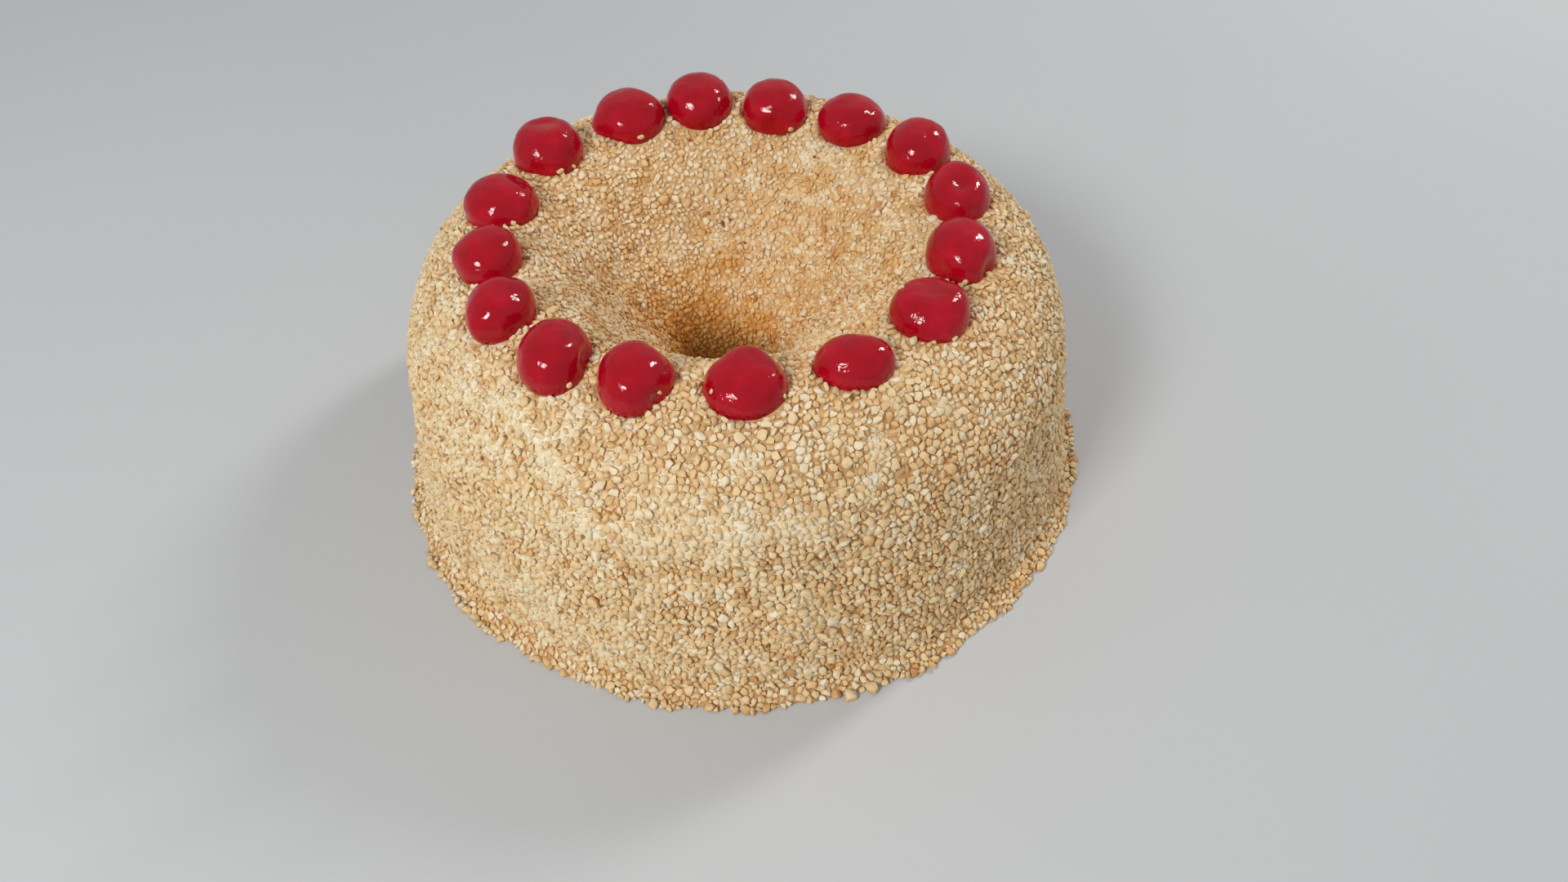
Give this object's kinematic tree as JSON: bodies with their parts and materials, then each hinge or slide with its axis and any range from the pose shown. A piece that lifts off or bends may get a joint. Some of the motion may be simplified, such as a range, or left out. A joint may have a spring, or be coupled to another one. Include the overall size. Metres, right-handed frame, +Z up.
{
  "type": "angel food cake",
  "caption": "Round ring cake with a deep funnel and central hole, coated all over in chopped nuts, with halved glace cherries set in a ring round its crest.",
  "frame": {"origin": "centre of the cake's base, on the plane it rests on", "axes": "+Z up along the hole's axis; the side seen in the picture faces -Y, with +X to its right"},
  "size_m": [0.2394, 0.2402, 0.1003],
  "materials": {
    "nut_coating": "chopped lightly roasted nuts, pale cream to golden, pressed into cream icing",
    "cherry": "wet, glossy, slightly translucent candied cherry"
  },
  "bodies": {
    "root": {"cake": "nut_coating", "cherry_01": "cherry", "cherry_02": "cherry", "cherry_03": "cherry", "cherry_04": "cherry", "cherry_05": "cherry", "cherry_06": "cherry", "cherry_07": "cherry", "cherry_08": "cherry", "cherry_09": "cherry", "cherry_10": "cherry", "cherry_11": "cherry", "cherry_12": "cherry", "cherry_13": "cherry", "cherry_14": "cherry", "cherry_15": "cherry", "cherry_16": "cherry"}
  },
  "joints": []
}
